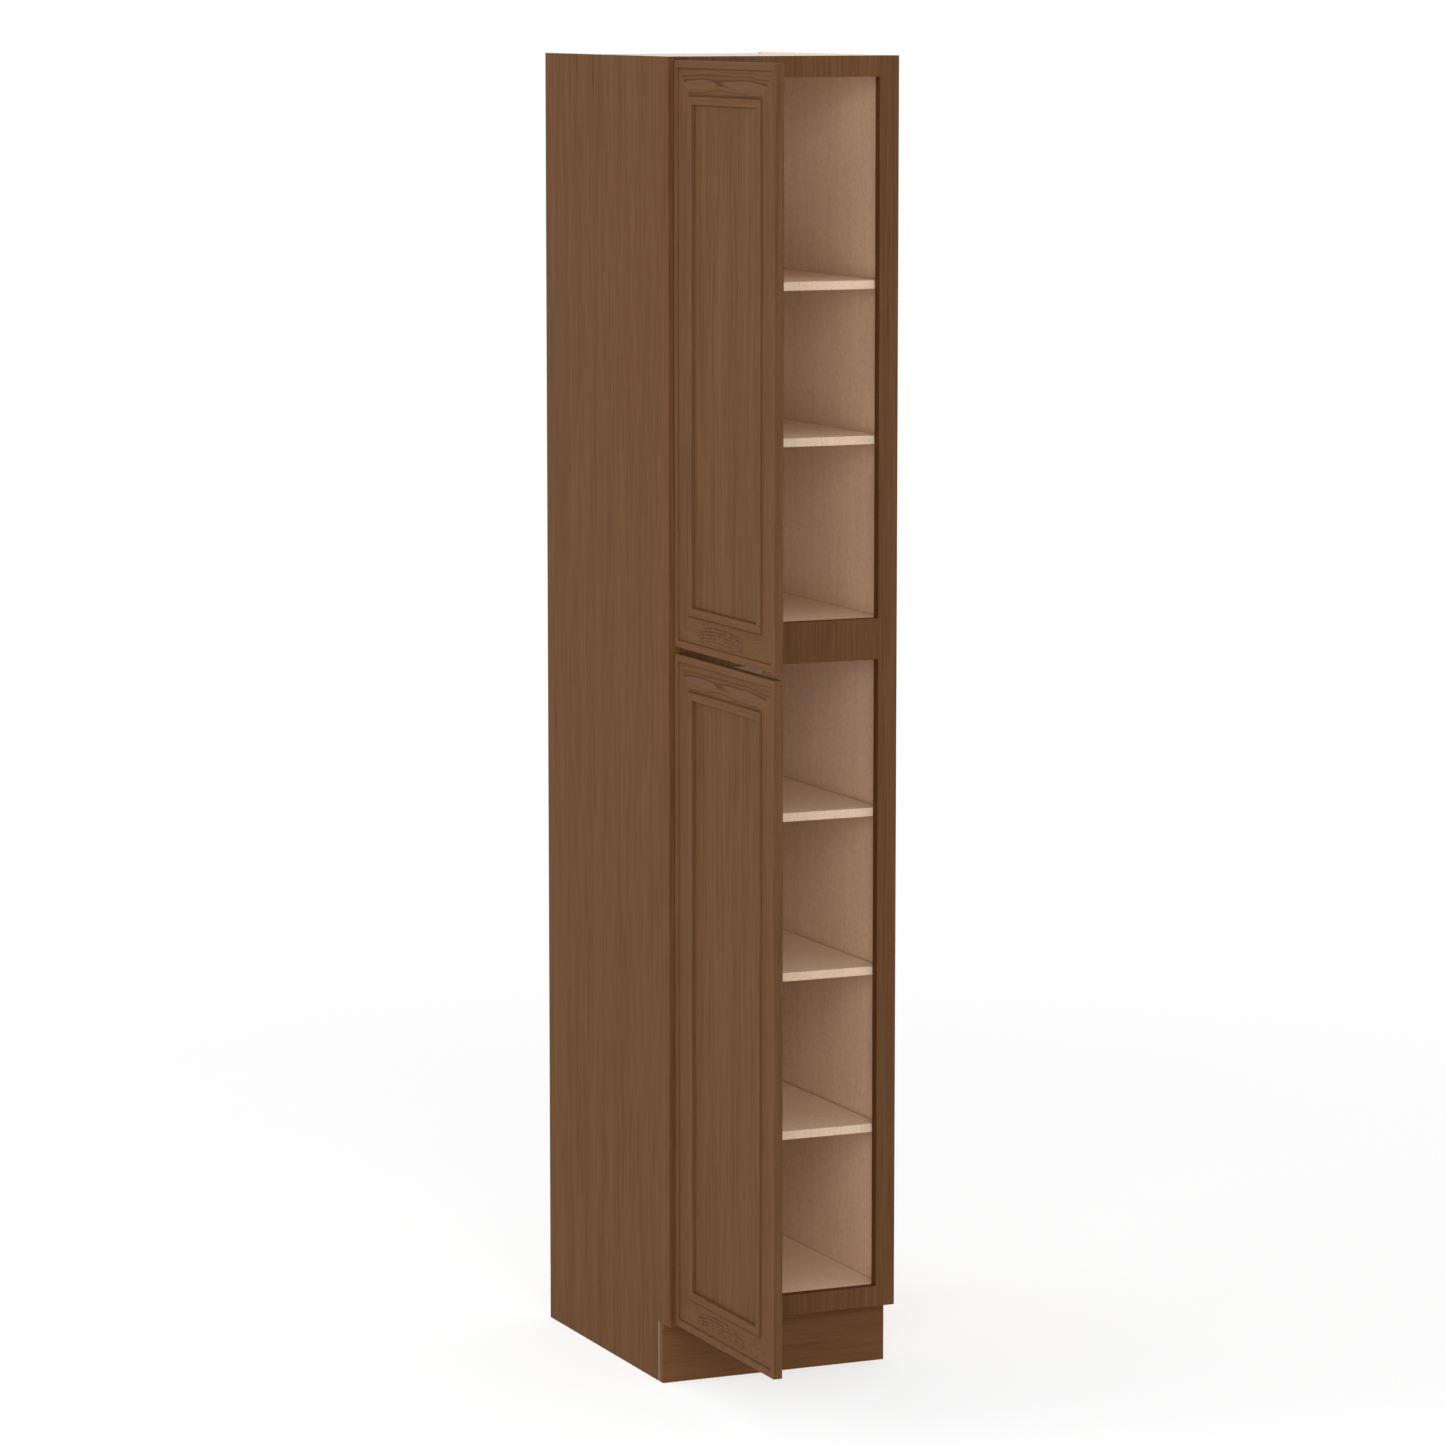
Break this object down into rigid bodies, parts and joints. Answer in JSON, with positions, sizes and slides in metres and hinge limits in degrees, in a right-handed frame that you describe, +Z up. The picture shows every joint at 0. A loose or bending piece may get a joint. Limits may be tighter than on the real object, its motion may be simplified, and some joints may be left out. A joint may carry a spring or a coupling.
{
  "type": "pantry cabinet",
  "caption": "Tall narrow face-frame pantry cabinet on a toe kick, with hinged full-overlay framed doors standing open and adjustable shelves inside.",
  "frame": {"origin": "on the floor in the plane of the wall behind the cabinet, midway between its sides", "axes": "+Z up; -Y out of the cabinet's front, away from the wall; +X to the right of someone facing the doors"},
  "size_m": [0.4572, 1.0373, 2.4384],
  "materials": {
    "end_skin_wood": "satin brown-stained maple veneer, grain upright",
    "face_frame_wood": "satin brown-stained maple, grain upright",
    "toe_facing_wood": "satin brown-stained maple veneer, grain level",
    "door_stile_wood": "satin brown-stained maple, grain upright",
    "door_panel_wood": "satin brown-stained maple veneer, grain upright",
    "door_top_rail_wood": "satin brown-stained maple with cathedral figure, grain level",
    "door_bottom_rail_wood": "satin brown-stained maple with faint arched figure, grain level",
    "interior_maple": "natural maple laminate, satin",
    "shelf_maple": "natural maple laminate, satin",
    "shelf_edge_veneer": "pale maple edge veneer",
    "raw_plywood": "unfinished light plywood",
    "beech_dowel": "unfinished beech",
    "nickel_steel": "nickel-plated pressed steel",
    "screw_steel": "zinc-plated steel",
    "bumper_rubber": "translucent soft polymer"
  },
  "bodies": {
    "cabinet": {"back_panel": "raw_plywood", "bottom_deck": "interior_maple", "bottom_hang_rail": "raw_plywood", "bottom_rail": "face_frame_wood", "face_frame_dowels": "beech_dowel", "hinge_arm_screws": "screw_steel", "left_end_skin": "end_skin_wood", "left_side_panel": "interior_maple", "left_stile": "face_frame_wood", "lower_hinge_arms": "nickel_steel", "lower_shelf_pins": "nickel_steel", "mid_rail": "face_frame_wood", "middle_deck": "interior_maple", "middle_hang_rail": "raw_plywood", "right_side_panel": "interior_maple", "right_stile": "face_frame_wood", "toe_board": "raw_plywood", "toe_facing": "toe_facing_wood", "top_hang_rail": "raw_plywood", "top_panel": "interior_maple", "top_rail": "face_frame_wood", "upper_hinge_arms": "nickel_steel", "upper_shelf_pins": "nickel_steel"},
    "upper_door": {"upper_door_bottom_rail": "door_bottom_rail_wood", "upper_door_bumpers": "bumper_rubber", "upper_door_cup_screws": "screw_steel", "upper_door_hinge_cups": "nickel_steel", "upper_door_hinge_pins": "nickel_steel", "upper_door_hinge_stile": "door_stile_wood", "upper_door_latch_stile": "door_stile_wood", "upper_door_mitre_keys": "raw_plywood", "upper_door_panel": "door_panel_wood", "upper_door_top_rail": "door_top_rail_wood"},
    "lower_door": {"lower_door_bottom_rail": "door_bottom_rail_wood", "lower_door_bumpers": "bumper_rubber", "lower_door_cup_screws": "screw_steel", "lower_door_hinge_cups": "nickel_steel", "lower_door_hinge_pins": "nickel_steel", "lower_door_hinge_stile": "door_stile_wood", "lower_door_latch_stile": "door_stile_wood", "lower_door_mitre_keys": "raw_plywood", "lower_door_panel": "door_panel_wood", "lower_door_top_rail": "door_top_rail_wood"},
    "upper_shelf_1": {"upper_shelf_1": "shelf_maple", "upper_shelf_1_edge_band": "shelf_edge_veneer"},
    "upper_shelf_2": {"upper_shelf_2": "shelf_maple", "upper_shelf_2_edge_band": "shelf_edge_veneer"},
    "lower_shelf_1": {"lower_shelf_1": "shelf_maple", "lower_shelf_1_edge_band": "shelf_edge_veneer"},
    "lower_shelf_2": {"lower_shelf_2": "shelf_maple", "lower_shelf_2_edge_band": "shelf_edge_veneer"},
    "lower_shelf_3": {"lower_shelf_3": "shelf_maple", "lower_shelf_3_edge_band": "shelf_edge_veneer"}
  },
  "joints": [
    {"name": "upper_door_hinge", "type": "hinge", "parent": "cabinet", "child": "upper_door", "pos_m": [-0.2127, -0.60395, 1.90475], "axis": [0, 0, 1], "range_deg": [-15, 90]},
    {"name": "lower_door_hinge", "type": "hinge", "parent": "cabinet", "child": "lower_door", "pos_m": [-0.2127, -0.60395, 0.7419], "axis": [0, 0, 1], "range_deg": [-15, 90]},
    {"name": "upper_shelf_1_lift", "type": "slide", "parent": "cabinet", "child": "upper_shelf_1", "axis": [0, 0, 1], "range_m": [0, 0.032]},
    {"name": "upper_shelf_2_lift", "type": "slide", "parent": "cabinet", "child": "upper_shelf_2", "axis": [0, 0, 1], "range_m": [0, 0.032]},
    {"name": "lower_shelf_1_lift", "type": "slide", "parent": "cabinet", "child": "lower_shelf_1", "axis": [0, 0, 1], "range_m": [0, 0.032]},
    {"name": "lower_shelf_2_lift", "type": "slide", "parent": "cabinet", "child": "lower_shelf_2", "axis": [0, 0, 1], "range_m": [0, 0.032]},
    {"name": "lower_shelf_3_lift", "type": "slide", "parent": "cabinet", "child": "lower_shelf_3", "axis": [0, 0, 1], "range_m": [0, 0.032]}
  ]
}
